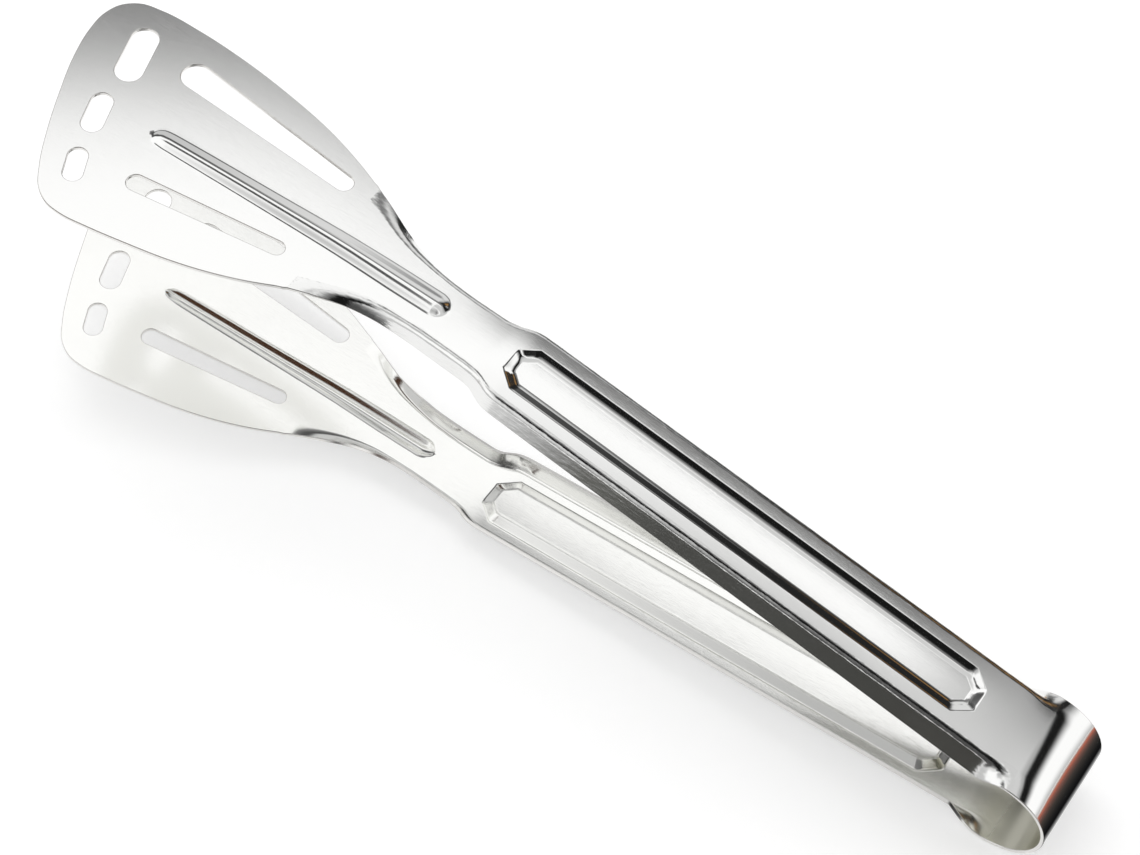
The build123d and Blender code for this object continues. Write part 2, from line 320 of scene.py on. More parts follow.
def slot_loop(slot, spacing):
    """Loop round two circles and their common tangents, clockwise. The tangents touch each
    circle at the angle whose cosine is the radii's difference over the distance."""
    s1, v1, r1, s2, v2, r2 = slot
    r1, r2 = r1 + EDGE, r2 + EDGE
    axis = math.atan2(v2 - v1, s2 - s1)
    touch = math.acos((r1 - r2) / math.hypot(s2 - s1, v2 - v1))
    arcs = []
    for s0, v0, r, first, last in (
        (s1, v1, r1, axis - touch, axis + touch - 2 * math.pi),
        (s2, v2, r2, axis + touch, axis - touch),
    ):
        angle = np.linspace(first, last, 2 + int(abs(last - first) * r / spacing))
        arcs.append(np.stack([s0 + r * np.cos(angle), v0 + r * np.sin(angle)], axis=1))
    corners = [arcs[0][-1], arcs[1][0], arcs[1][-1], arcs[0][0]]
    runs = []
    for a, b in (corners[:2], corners[2:]):
        t = np.linspace(0, 1, 2 + int(np.linalg.norm(b - a) / (2 * spacing)))[1:-1, None]
        runs.append(a + (b - a) * t)
    return np.vstack([arcs[0], runs[0], arcs[1], runs[1]])


OUTLINE_SPACING, SLOT_SPACING = 0.8, 0.5
head_curve = smooth_curve(HEAD_OUTLINE, OUTLINE_SPACING)
inwards = np.gradient(head_curve, axis=0)[:, ::-1] * (1, -1)
inwards /= np.linalg.norm(inwards, axis=1)[:, None]
# room for the rounded edge, growing from nothing over the first and last three points
from_ends = np.minimum(np.arange(len(head_curve)), np.arange(len(head_curve))[::-1])
head_curve = head_curve + EDGE * inwards * np.minimum(1, from_ends / 3)[:, None]
slot_loops = [slot_loop(slot, SLOT_SPACING) for slot in SLOTS]
print("head outline points", len(head_curve), "slot points", sum(map(len, slot_loops)))

# %% [markdown]
# ## Mesh of one arm
#
# The flat part is filled with triangles by a constrained Delaunay
# triangulation: it takes points and lines in a plane and keeps every line as
# an edge. The lines follow the outline, the slots, the panel's walls and the
# rib, so the shading stays clean where the steel bends. The folded sides are
# grids that share their first column with the edge of the flat part.

# %% Rows along the arm and columns across the strip
PLAN_END = STATIONS[-1, 0]
# from s, to s, and the step between rows
ROW_STEPS = [(0, 9, 0.3), (9, 12, 0.6), (12, 136, 1.25), (136, 152, 0.45), (152, PLAN_END, 0.9)]
rows = np.concatenate([
    np.linspace(a, b, int(round((b - a) / step)), endpoint=False) for a, b, step in ROW_STEPS
] + [[PLAN_END]])
FOLD_COLUMNS = np.concatenate([np.linspace(0, 1, 8), np.linspace(1, 2, 6)[1:]])
PLATE_COLUMNS = np.linspace(-1, 1, 21)
print("rows:", len(rows), "columns:", len(FOLD_COLUMNS), "a side and", len(PLATE_COLUMNS))


def side_plan(s, near):
    """s and v of a folded side's points at one station, seen from above, from q = 0 to 2."""
    q = FOLD_COLUMNS
    return side_surface(np.full(len(q), s), q, near, 0)[:, :2]


def panel_ring(inset, spacing):
    """Closed loop at one inset from the panel's outline, through eight mitre corners."""
    rise = PANEL_HALF_WIDTH - PANEL_END_HALF_WIDTH
    length = math.hypot(rise, PANEL_END_RUN)
    side = PANEL_HALF_WIDTH - inset
    run = PANEL_END_RUN + inset * (length - PANEL_END_RUN) / rise
    end = PANEL_END_HALF_WIDTH - inset * (length - rise) / PANEL_END_RUN
    a, b = PANEL_REAR, PANEL_FRONT
    corners = np.array([
        (a + inset, end), (a + run, side), (b - run, side), (b - inset, end),
        (b - inset, -end), (b - run, -side), (a + run, -side), (a + inset, -end),
    ])
    loop = []
    for p, q in zip(corners, np.roll(corners, -1, axis=0)):
        count = max(2, int(np.linalg.norm(q - p) / spacing))
        loop.append(p + (q - p) * np.arange(count)[:, None] / count)
    return np.vstack(loop)


# %% Points and lines of the flat part
near_plate = np.stack([rows, side_at(rows, True)[0]], axis=1)
far_plate = np.stack([rows, -side_at(rows, False)[0]], axis=1)
near_end, far_end = side_plan(rows[-1], True), side_plan(rows[-1], False)
root_line = np.stack([
    np.zeros(len(PLATE_COLUMNS)),
    np.where(PLATE_COLUMNS < 0, -far_plate[0, 1], near_plate[0, 1]) * PLATE_COLUMNS], axis=1)
outline = np.vstack([
    near_plate, near_end[1:], head_curve[1:-1], far_end[:0:-1], far_plate[::-1],
    root_line[1:-1]])
near_rows = np.arange(len(rows))
near_end_at = len(rows) - 1 + np.arange(len(near_end))
far_end_at = len(near_plate) + len(near_end) - 1 + len(head_curve) - 2 + np.arange(
    len(far_end))[::-1]
far_rows = far_end_at[0] + np.arange(len(rows))[::-1]

# insets of the panel's lines, and the rib's lines as parts of its half width
PANEL_LINES = (
    -0.95, -0.6, -0.3, -0.1, 0, 0.1, 0.3, 0.6, 0.92, 1.3, 1.62, 1.78, 1.9, 2.02, 2.18, 2.5,
    2.95, 3.42)
RIB_LINES = (-1, -0.85, -0.7, -0.55, -0.38, -0.2, 0, 0.2, 0.38, 0.55, 0.7, 0.85, 1)
PANEL_SPACING, RIB_POINTS = 1.1, 140
lines = [(outline, True)] + [(loop, True) for loop in slot_loops]
lines += [(panel_ring(inset, PANEL_SPACING), True) for inset in PANEL_LINES]
rib_s = np.linspace(RIB[0, 0], RIB[-1, 0], RIB_POINTS)
middle, half = (through(RIB[:, 0], RIB[:, k], rib_s) for k in (1, 2))
lines += [(np.stack([rib_s, middle + across * half], axis=1), False) for across in RIB_LINES]


# %% Free points between the lines
BATCH = 500  # points compared at a time, to save memory


def inside(points, loop):
    """True for points inside a closed loop: a ray along s crosses it an odd number of times."""
    a, b = loop, np.roll(loop, -1, axis=0)
    odd = np.zeros(len(points), bool)
    for start in range(0, len(points), BATCH):
        p = points[start:start + BATCH, None]
        straddle = (a[:, 1] > p[..., 1]) != (b[:, 1] > p[..., 1])
        cross = (b[:, 0] - a[:, 0]) * (p[..., 1] - a[:, 1]) / (b[:, 1] - a[:, 1] + 1e-12)
        odd[start:start + BATCH] = (straddle & (p[..., 0] < cross + a[:, 0])).sum(1) % 2 == 1
    return odd


def clear_of(points, others, reach):
    """True for points farther than reach from every one of the others."""
    keep = np.ones(len(points), bool)
    for start in range(0, len(points), BATCH):
        gap = points[start:start + BATCH, None] - others[None]
        keep[start:start + BATCH] = (gap**2).sum(2).min(1) > reach**2
    return keep


# the free points lie in equal triangles: their side, height over side, and reach across
GRID, TRIANGLE_HEIGHT, REACH = 1.0, 0.866, 33
grid_s, grid_v = np.meshgrid(
    np.arange(0.5, ARM_LENGTH, GRID), np.arange(-REACH, REACH + 0.5, GRID * TRIANGLE_HEIGHT))
grid_s = grid_s + (np.arange(grid_s.shape[0]) % 2)[:, None] * GRID / 2
grid = np.stack([grid_s.ravel(), grid_v.ravel()], axis=1)
grid = grid[inside(grid, outline)]
grid = grid[clear_of(grid, np.vstack([line for line, _ in lines]), GRID * 0.5)]
print("flat part:", len(grid), "free points and", sum(len(p) for p, _ in lines), "on lines")

# %% Triangles of the flat part
edges, count = [], 0
for line, closed in lines:
    first = count + np.arange(len(line))
    edges.append(np.stack([first, np.roll(first, -1)], axis=1)[:len(line) if closed else -1])
    count += len(line)
plan = np.vstack([line for line, _ in lines] + [grid])
cdt = delaunay_2d_cdt(plan.tolist(), np.vstack(edges).tolist(), [], 0, 1e-6, True)
plan_points = np.array([tuple(p) for p in cdt[0]])
plan_faces = np.array(cdt[2])
source = {old: new for new, olds in enumerate(cdt[3]) for old in olds}
outline_at = np.array([source[k] for k in range(len(outline))])
centres = plan_points[plan_faces].mean(1)
kept = inside(centres, outline)
for loop in slot_loops:
    kept &= ~inside(centres, loop)
plan_faces = plan_faces[kept]
side_1, side_2 = (plan_points[plan_faces[:, k]] - plan_points[plan_faces[:, 0]] for k in (1, 2))
turns_left = side_1[:, 0] * side_2[:, 1] - side_1[:, 1] * side_2[:, 0] > 0
plan_faces[turns_left] = plan_faces[turns_left][:, ::-1]
print("flat part:", len(plan_points), "points,", len(plan_faces), "triangles")

# %% [markdown]
# A polished sheet mirrors every small error of its surface, and normals taken
# from the triangles would flicker. They come from the formulas instead: two
# tiny steps along the surface give two directions, and their cross product is
# the normal. Each vertex carries it as a custom normal.

# %% Normals, folded sides and the rounded cut edges
TINY = 0.02
# kinds of face, in the order of a piece's materials
OUTER_FACE, INNER_FACE, CUT_EDGE, ROLLED_SIDE = range(4)


def surface_normal(surface, a, b, flip):
    """Cross product of the surface's two central differences, made one unit long."""
    along = surface(a + TINY, b) - surface(a - TINY, b)
    across = surface(a, b + TINY) - surface(a, b - TINY)
    normal = np.cross(along, across) * (-1 if flip else 1)
    return normal / np.linalg.norm(normal, axis=-1)[..., None]


def side_grid(near, row_s):
    """Outer and inner points, outward normals and sheet coordinates of one folded side, as
    arrays of rows by columns. The far side's cross product points the other way."""
    s, q = np.meshgrid(row_s, FOLD_COLUMNS, indexing="ij")
    outer = side_surface(s, q, near, 0)
    inner = side_surface(s, q, near, SHEET)
    normal = surface_normal(lambda a, b: side_surface(a, b, near, 0), s, q, near)
    plate, _, _, straight = side_at(s, near)
    w = plate + FOLD_ARC * np.minimum(q, 1) + straight * np.maximum(q - 1, 0)
    return outer, inner, normal, np.stack([s, w if near else -w], axis=-1)


def grid_faces(index, flip):
    """Two triangles for each cell of a grid of vertex numbers."""
    a, b, c, d = index[:-1, :-1], index[1:, :-1], index[1:, 1:], index[:-1, 1:]
    faces = np.concatenate([
        np.stack([a, b, c], -1).reshape(-1, 3), np.stack([a, c, d], -1).reshape(-1, 3)])
    return faces[:, ::-1] if flip else faces


# %% Rounded cut edges


def thickened(outer, inner, normal, uv, faces, open_row):
    """Closed sheet from its outer face. The inner face is the same triangles turned over,
    and every free edge gets a strip of faces that rounds it: a quarter circle, a straight
    part and another quarter circle. Edges in open_row stay square, for a neighbour to meet."""
    size = len(outer)
    pairs = np.concatenate([faces[:, [0, 1]], faces[:, [1, 2]], faces[:, [2, 0]]])
    key = np.sort(pairs, 1) @ (size, 1)
    _, index, count = np.unique(key, return_index=True, return_counts=True)
    free = pairs[index[count == 1]]
    meets = open_row[free].all(1)
    sideways = np.cross(outer[free[:, 1]] - outer[free[:, 0]], normal[free].mean(1))
    sideways /= np.linalg.norm(sideways, axis=1)[:, None] + 1e-12
    out = np.zeros_like(outer)
    for k in (0, 1):
        np.add.at(out, free[~meets, k], sideways[~meets])
    out /= np.linalg.norm(out, axis=1)[:, None] + 1e-12
    rim = np.unique(free)
    order = np.full(size, -1)
    order[rim] = np.arange(len(rim))
    quarter = np.radians([30, 60, 90])
    outward = np.concatenate([np.sin(quarter), np.sin(quarter)[::-1]])
    depth = np.concatenate([
        EDGE * (1 - np.cos(quarter)), SHEET - EDGE * (1 - np.cos(quarter[::-1]))])
    lean = np.concatenate([np.cos(quarter), -np.cos(quarter[::-1])])
    top, o = normal[rim], out[rim]
    ring_points, ring_normals = [], []
    for w, d, c in zip(outward, depth, lean):
        ring_points.append(outer[rim] + (inner[rim] - outer[rim]) * d / SHEET + o * w * EDGE)
        ring_normals.append(top * (c + 1e-3) + o * w)
    points = np.vstack([outer, inner] + ring_points)
    normals = np.vstack([normal, -normal] + ring_normals)
    levels = [free] + [
        2 * size + k * len(rim) + order[free] for k in range(len(outward))] + [size + free]
    strips = []
    for upper, lower in zip(levels, levels[1:]):
        a, b, c, d = upper[:, 1], upper[:, 0], lower[:, 0], lower[:, 1]
        strips += [np.stack([a, b, c], 1), np.stack([a, c, d], 1)]
    all_faces = np.vstack([faces, faces[:, ::-1] + size] + strips)
    face_kind = np.concatenate([
        np.full(len(faces), OUTER_FACE), np.full(len(faces), INNER_FACE),
        np.full(sum(map(len, strips)), CUT_EDGE)])
    all_uv = np.vstack([uv, uv] + [uv[rim]] * len(outward))
    normals /= np.linalg.norm(normals, axis=1)[:, None]
    return points, normals, all_uv, all_faces, face_kind


# %% The whole arm


def joined_arm():
    """The flat part and both folded sides, with shared vertices where they meet."""
    s, v = plan_points.T
    outer, inner = [plate_surface(s, v)], [plate_surface(s, v, True)]
    normal = [surface_normal(plate_surface, s, v, True)]
    inner_normal = [surface_normal(lambda a, b: plate_surface(a, b, True), s, v, True)]
    uv, faces, total = [plan_points], [plan_faces], len(plan_points)
    for near, row_at, end_at in ((True, near_rows, near_end_at), (False, far_rows, far_end_at)):
        o, i, nrm, w = side_grid(near, rows)
        index = np.zeros(o.shape[:2], int)
        index[:, 0] = outline_at[row_at]
        index[-1] = outline_at[end_at]
        fresh = index[:-1, 1:]
        fresh[...] = total + np.arange(fresh.size).reshape(fresh.shape)
        total += fresh.size
        for stack, part in ((outer, o), (inner, i), (normal, nrm), (inner_normal, nrm), (uv, w)):
            stack.append(part[:-1, 1:].reshape(-1, part.shape[-1]))
        faces.append(grid_faces(index, near))
    return [np.vstack(x) for x in (outer, inner, normal, inner_normal, uv, faces)]


arm_outer, arm_inner, arm_normal, arm_inner_normal, arm_uv, arm_faces = joined_arm()
arm_root = np.abs(arm_uv[:, 0]) < 1e-6
arm = thickened(arm_outer, arm_inner, arm_normal, arm_uv, arm_faces, arm_root)
arm[1][len(arm_outer):2 * len(arm_outer)] = -arm_inner_normal
print("arm:", len(arm[0]), "vertices,", len(arm[3]), "triangles")

# %% [markdown]
# ## Mesh of the bow
#
# The bow is a plain grid, from one arm's root round to the other's. Half of
# it is worked out in the lower arm's frame, and the other half is its mirror
# image across the plane between the arms. Its cross-section starts with the
# arm's own section at the root, so the two meet point on point.

# %% Bow as half a grid
HALF_TURN = math.pi / 2 - OPENING
BOW_ROWS = 61
bow_rows = -np.linspace(0, BOW_RADIUS * HALF_TURN, BOW_ROWS)[::-1]


def bow_half():
    """Outer, inner, normal and sheet coordinates over the whole width, rows by columns: the
    far side from its edge, the plate and the near side to its edge."""
    near_o, far_o = side_grid(True, bow_rows), side_grid(False, bow_rows)
    s, t = np.meshgrid(bow_rows, PLATE_COLUMNS, indexing="ij")
    v = t * side_at(s, True)[0]
    flat = (
        place(s, v, 0), place(s, v, SHEET),
        surface_normal(lambda a, b: place(a, b, np.zeros_like(a)), s, v, True),
        np.stack([s, v], -1))
    return [
        np.concatenate([f[:, :0:-1], p, n[:, 1:]], axis=1)
        for f, p, n in zip(far_o, flat, near_o)]


bow_outer, bow_inner, bow_normal, bow_uv = bow_half()
print("bow half:", bow_outer.shape)

# %% [markdown]
# ## From the arm's frame to the tongs
#
# The lower arm only shifts into place. The upper arm is the lower arm
# reflected in the plane that halves the opening angle. A reflection turns
# faces inside out, so their corner order is reversed too.

# %% Placing and mirroring
TWICE = 2 * OPENING
REFLECT = np.array([
    (math.cos(TWICE), 0, math.sin(TWICE)), (0, 1, 0), (math.sin(TWICE), 0, -math.cos(TWICE))])
UV_UNIT = 100  # millimetres of the strip that one unit of its UV map spans


def lower_place(points):
    """Row frame in metres from the lower arm's own frame."""
    return (points - (MID_S, MID_V, 0)) * MM


def upper_place(points):
    """As lower_place, after a reflection through the bow's middle."""
    pivot = np.array([0, 0, BOW_RADIUS])
    return lower_place((points - pivot) @ REFLECT.T + pivot)


def make_piece(name, points, normals, uv, faces, face_kind, materials):
    """Mesh object from arrays. face_kind picks the material of each face."""
    mesh = bpy.data.meshes.new(name)
    mesh.from_pydata(points, [], faces)
    mesh.polygons.foreach_set("use_smooth", np.ones(len(faces), bool))
    for material in materials:
        mesh.materials.append(material)
    mesh.polygons.foreach_set("material_index", face_kind)
    layer = mesh.uv_layers.new(name="Strip")
    layer.data.foreach_set("uv", (uv[faces.ravel()] / UV_UNIT).ravel())
    mesh.normals_split_custom_set_from_vertices(normals.tolist())
    mesh.validate()
    piece = bpy.data.objects.new(name, mesh)
    bpy.context.scene.collection.objects.link(piece)
    return piece


# %% [markdown]
# ## Steel
#
# Stainless kitchen steel is polished on a belt, which leaves very fine lines
# along the strip and a slightly uneven gloss. The metal itself has one colour;
# only the inner face darkens towards the bow, as painted shade inside the bend.
# Its look comes from what it mirrors, so the work goes into roughness and a
# faint bump that both follow the strip's own coordinates.

# %% Steel materials


def add_node(tree, kind, inputs=None, **settings):
    """New node of a kind, with its settings and the default values of its inputs."""
    node = tree.nodes.new("ShaderNode" + kind)
    for name, value in settings.items():
        setattr(node, name, value)
    for name, value in (inputs or {}).items():
        node.inputs[name].default_value = value
    return node


MIX_FACTOR, MIX_A, MIX_B = 0, 2, 3  # inputs of a Mix node for numbers
MIX_COLOUR_A, MIX_COLOUR_B, MIX_COLOUR = 6, 7, 2  # inputs and output of one for colours
DARKER_CLOUDS = 0.97
BEND_FROM, BEND_TO = -0.05, 0.14  # length along the UV map over which the painted shade inside the bow ends
DULL_ROUGHNESS = 0.28
BUMP_HEIGHT = 0.00005


def steel(name, colour, rough_low, rough_high, grain, bump, bow_shade=None):
    """Metal whose roughness varies between two values in streaks along the strip. With
    bow_shade, a darker, warmer colour takes over towards the bow: painted shade inside the
    bend. There the roughness also rises, as bending has left the inner face matt."""
    material = bpy.data.materials.new(name)
    material.use_nodes = True
    tree = material.node_tree
    link = tree.links.new
    shader = tree.nodes["Principled BSDF"]
    shader.inputs["Metallic"].default_value = 1.0
    strip = add_node(tree, "UVMap", uv_map="Strip")
    stretch = add_node(tree, "Mapping", {"Scale": (1.0, grain, 1.0)})
    streaks = add_node(tree, "TexNoise", {"Scale": 30.0, "Detail": 6.0})
    clouds = add_node(tree, "TexNoise", {"Scale": 5.0, "Detail": 3.0})
    link(strip.outputs["UV"], stretch.inputs["Vector"])
    link(stretch.outputs["Vector"], streaks.inputs["Vector"])
    link(strip.outputs["UV"], clouds.inputs["Vector"])
    mixed = add_node(tree, "Math", {1: 0.5}, operation="MULTIPLY_ADD")
    half = add_node(tree, "Math", {1: 0.5}, operation="MULTIPLY")
    link(streaks.outputs["Fac"], mixed.inputs[0])
    link(clouds.outputs["Fac"], half.inputs[0])
    link(half.outputs[0], mixed.inputs[2])
    rough = add_node(tree, "MapRange", {
        "From Min": 0.3, "From Max": 0.7, "To Min": rough_low, "To Max": rough_high})
    link(mixed.outputs[0], rough.inputs["Value"])
    tone = add_node(tree, "Mix", data_type="RGBA")
    tone.inputs[MIX_COLOUR_A].default_value = (*(DARKER_CLOUDS * c for c in colour), 1)
    tone.inputs[MIX_COLOUR_B].default_value = (*colour, 1)
    link(clouds.outputs["Fac"], tone.inputs[MIX_FACTOR])
    final_colour, final_roughness = tone.outputs[MIX_COLOUR], rough.outputs["Result"]
    # painted shade inside the bend: the colour darkens towards the bow
    if bow_shade:
        along = add_node(tree, "SeparateXYZ")
        link(strip.outputs["UV"], along.inputs["Vector"])
        ahead = add_node(
            tree, "MapRange", {"From Min": BEND_FROM, "From Max": BEND_TO},
            interpolation_type="SMOOTHSTEP")
        link(along.outputs["X"], ahead.inputs["Value"])
        bow_shaded = add_node(tree, "Mix", data_type="RGBA")
        bow_shaded.inputs[MIX_COLOUR_A].default_value = (*bow_shade, 1)
        matt = add_node(tree, "Mix", {MIX_A: DULL_ROUGHNESS})
        for mix, fresh in ((bow_shaded.inputs[MIX_COLOUR_B], final_colour),
                           (matt.inputs[MIX_B], final_roughness)):
            link(fresh, mix)
            link(ahead.outputs["Result"], mix.node.inputs[MIX_FACTOR])
        final_colour, final_roughness = bow_shaded.outputs[MIX_COLOUR], matt.outputs[0]
    link(final_colour, shader.inputs["Base Color"])
    link(final_roughness, shader.inputs["Roughness"])
    lines_bump = add_node(tree, "Bump", {"Strength": bump, "Distance": BUMP_HEIGHT})
    link(streaks.outputs["Fac"], lines_bump.inputs["Height"])
    link(lines_bump.outputs["Normal"], shader.inputs["Normal"])
    return material


# name, colour, lowest and highest roughness, fineness of the streaks, strength of the bump
finishes = [
    steel("polished_steel", (0.86, 0.86, 0.85), 0.06, 0.10, 40.0, 0.05),
    # the inner face darkens to a warm grey towards the bow: painted shade inside the bend
    steel("brushed_inner_face", (0.88, 0.88, 0.86), 0.09, 0.15, 30.0, 0.12,
          bow_shade=(0.64, 0.63, 0.54)),
    steel("cut_edge", (0.78, 0.77, 0.75), 0.18, 0.26, 10.0, 0.2),
    steel("rolled_sides", (0.84, 0.84, 0.83), 0.07, 0.16, 4.0, 1.0),
]
print("finishes:", [material.name for material in finishes])

# %% [markdown]
# ## The three pieces
#
# Each arm rides on a CAD body, and stands for the solid that it hides. The bow
# crosses the joint in one piece, from one arm round to the other.

# %% Both arms
points, normals, uv, faces, kind = arm
kind[len(plan_faces):len(arm_faces)] = ROLLED_SIDE  # outer faces of the folded sides
lower = make_piece("lower_arm_sheet", lower_place(points), normals, uv, faces, kind, finishes)
upper = make_piece(
    "upper_arm_sheet", upper_place(points), normals @ REFLECT.T, uv, faces[:, ::-1], kind,
    finishes)
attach(lower, "lower_arm")
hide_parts("lower_arm")
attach(upper, "upper_arm")
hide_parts("upper_arm")
print("arms:", lower.name, upper.name)

# %% The bow, across the joint


def whole_bow():
    """Both halves in the row frame as one outer face. The shared row at the bow's middle
    has its normals averaged."""
    def both(array, first_mover, second_mover):
        first = array[::-1].reshape(-1, array.shape[-1])
        second = array[1:].reshape(-1, array.shape[-1])
        return np.vstack([first_mover(first), second_mover(second)])

    def same(rows):
        return rows

    def turned(rows):
        return rows @ REFLECT.T

    def run_on(rows):
        return rows * (-1, 1) - (2 * BOW_RADIUS * HALF_TURN, 0)

    outer, inner = (
        both(face, lambda p: lower_place(p) / MM, lambda p: upper_place(p) / MM)
        for face in (bow_outer, bow_inner))
    normal = both(bow_normal, same, turned)
    sheet = both(bow_uv, same, run_on)
    width = bow_outer.shape[1]
    index = np.arange(len(outer)).reshape(-1, width)
    middle = slice((BOW_ROWS - 1) * width, BOW_ROWS * width)
    normal[middle] = normal[middle] + normal[middle] @ REFLECT.T
    normal[middle] /= np.linalg.norm(normal[middle], axis=1)[:, None]
    ends = np.zeros(len(outer), bool)
    ends[index[0]] = ends[index[-1]] = True
    return thickened(outer, inner, normal, sheet, grid_faces(index, False), ends)


points, normals, uv, faces, kind = whole_bow()
bow = make_piece("bow_strip", points * MM, normals, uv, faces, kind, finishes)
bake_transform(bow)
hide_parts("bow_lower_half", "bow_upper_half")
print("bow:", len(points), "vertices,", len(faces), "triangles")

# %% [markdown]
# ## Floor, cards and light
#
# Polished steel shows its surroundings. A product photographer therefore
# works with a white surround and a few dark cards: the white fills the broad
# faces and the cards draw the dark lines along folds and ribs. Two of the
# floor cards are painted shadow: dark sheets where the tongs shade the table,
# for the steel to mirror. The floor and the sky are as white as the
# photograph's for the camera, for reflections and through glass. For the light
# that they give the object they are plainer, so the floor still shows the
# tongs' shadow.

# %% Floor and world
FLOOR_HALF = 3
floor_corners = [
    (x * FLOOR_HALF, y * FLOOR_HALF, 0) for x, y in ((-1, -1), (1, -1), (1, 1), (-1, 1))]
floor_mesh = bpy.data.meshes.new("floor")
floor_mesh.from_pydata(floor_corners, [], [(0, 1, 2, 3)])
floor = bpy.data.objects.new("floor", floor_mesh)
bpy.context.scene.collection.objects.link(floor)


def seen_directly(tree):
    """Output that is 1 for camera, glossy and transmission rays, and 0 for all others."""
    ray = add_node(tree, "LightPath")
    seen = ray.outputs["Is Camera Ray"]
    for other in ("Is Glossy Ray", "Is Transmission Ray"):
        either = add_node(tree, "Math", operation="MAXIMUM")
        tree.links.new(seen, either.inputs[0])
        tree.links.new(ray.outputs[other], either.inputs[1])
        seen = either.outputs[0]
    return seen


FLOOR_GREY, FLOOR_LIFT = 0.85, 0.32  # colour, and the glow that is seen but lights nothing
floor_material = bpy.data.materials.new("pale_floor")
floor_material.use_nodes = True
tree = floor_material.node_tree
shader = tree.nodes["Principled BSDF"]
shader.inputs["Base Color"].default_value = (FLOOR_GREY, FLOOR_GREY, FLOOR_GREY, 1)
shader.inputs["Roughness"].default_value = 0.9
shader.inputs["Specular IOR Level"].default_value = 0.0
shader.inputs["Emission Color"].default_value = (1, 1, 1, 1)
lift = add_node(tree, "Math", {1: FLOOR_LIFT}, operation="MULTIPLY")
tree.links.new(seen_directly(tree), lift.inputs[0])
tree.links.new(lift.outputs[0], shader.inputs["Emission Strength"])
floor_mesh.materials.append(floor_material)

SKY_LIGHT = 0.75  # strength of the world's light on the object
world = bpy.data.worlds.new("studio")
bpy.context.scene.world = world
world.use_nodes = True
tree = world.node_tree
background = tree.nodes["Background"]
background.inputs["Color"].default_value = (1, 1, 1, 1)
level = add_node(tree, "MapRange", {"To Min": SKY_LIGHT, "To Max": 1.0})
tree.links.new(seen_directly(tree), level.inputs["Value"])
tree.links.new(level.outputs["Result"], background.inputs["Strength"])
print("floor", 2 * FLOOR_HALF, "m wide, sky light", SKY_LIGHT)

# %% Soft lamp overhead
LAMP_SIZE, LAMP_POWER, LAMP_DISTANCE = (1.5, 1.0), 4.5, 1.4
LAMP_DIRECTION = (0.35, -0.42, 0.84)
lamp_data = bpy.data.lights.new("softbox", "AREA")
lamp_data.shape = "RECTANGLE"
lamp_data.size, lamp_data.size_y = LAMP_SIZE
lamp_data.energy = LAMP_POWER
lamp = bpy.data.objects.new("softbox", lamp_data)
lamp.visible_glossy = False
bpy.context.scene.collection.objects.link(lamp)
lamp_back = np.array(LAMP_DIRECTION)
lamp_back /= np.linalg.norm(lamp_back)
lamp_x = np.cross((0, 0, 1), lamp_back)
lamp_x /= np.linalg.norm(lamp_x)
lamp_y = np.cross(lamp_back, lamp_x)
columns = np.stack([lamp_x, lamp_y, lamp_back, lamp_back * LAMP_DISTANCE], axis=1)
lamp.matrix_world = Matrix(np.vstack([columns, (0, 0, 0, 1)]).tolist())
print("lamp at", [round(float(x), 2) for x in lamp_back * LAMP_DISTANCE])

# %% [markdown]
# ## What the steel mirrors
#
# The steel is curved so little that a few degrees of the studio fill a whole
# handle. A light tent with soft edges is therefore worked out as one function
# of direction: white above, a grey wall on the far side, a dark strip behind
# the bow and the dark place where the camera stands. Four cards on the floor
# and one beside the heads draw the lines along the folds, and two of the floor
# cards are painted shadow where the tongs shade the table. All of it is seen
# only in reflections, so it neither lights the floor nor shows in the picture.

# %% Brightness of the light tent


def soft(x, low, high):
    """Smooth step from 0 at low to 1 at high: 3 t squared minus 2 t cubed."""
    t = np.clip((x - low) / (high - low), 0, 1)
    return t * t * (3 - 2 * t)


def toward(glow, target, share):
    """glow where share is 0, target where share is 1, and a mix between."""
    return glow + (target - glow) * share


# brightness of the tent's areas, in the order that tent_glow() paints them
WHITE = 1.18
WALL_DARK, WALL_PALE, WALL_LOW_DOWN = 0.02, 0.82, 0.22
WALL_AT_HEADS, WALL_UPPER_DARK, WALL_TOP = 0.65, 0.08, 0.22
CEILING_REAR, CEILING_FRONT = 0.70, 1.12
ROOT_LOW, ROOT_HIGH, FOLD_BLACK, BOW_WHITE, BOW_GREY = 0.47, 0.72, 0.01, 1.15, 0.5
ROOM, ROOM_DARK, STAND, ABOVE_STAND, BESIDE = 0.9, 0.08, 0.01, 0.2, 0.5
# direction along the floor and the height of the far wall's top edge, in degrees
FAR_WALL = np.array([
    (-180, 54.6), (-115.5, 55.2), (-110, 56.7), (-103, 58.1), (-97, 59.2), (-75, 58.8),
    (-65, 57.0), (-58, 55.7), (-50, 54.8), (-30, 53), (0, 40), (60, 20), (180, 20)])


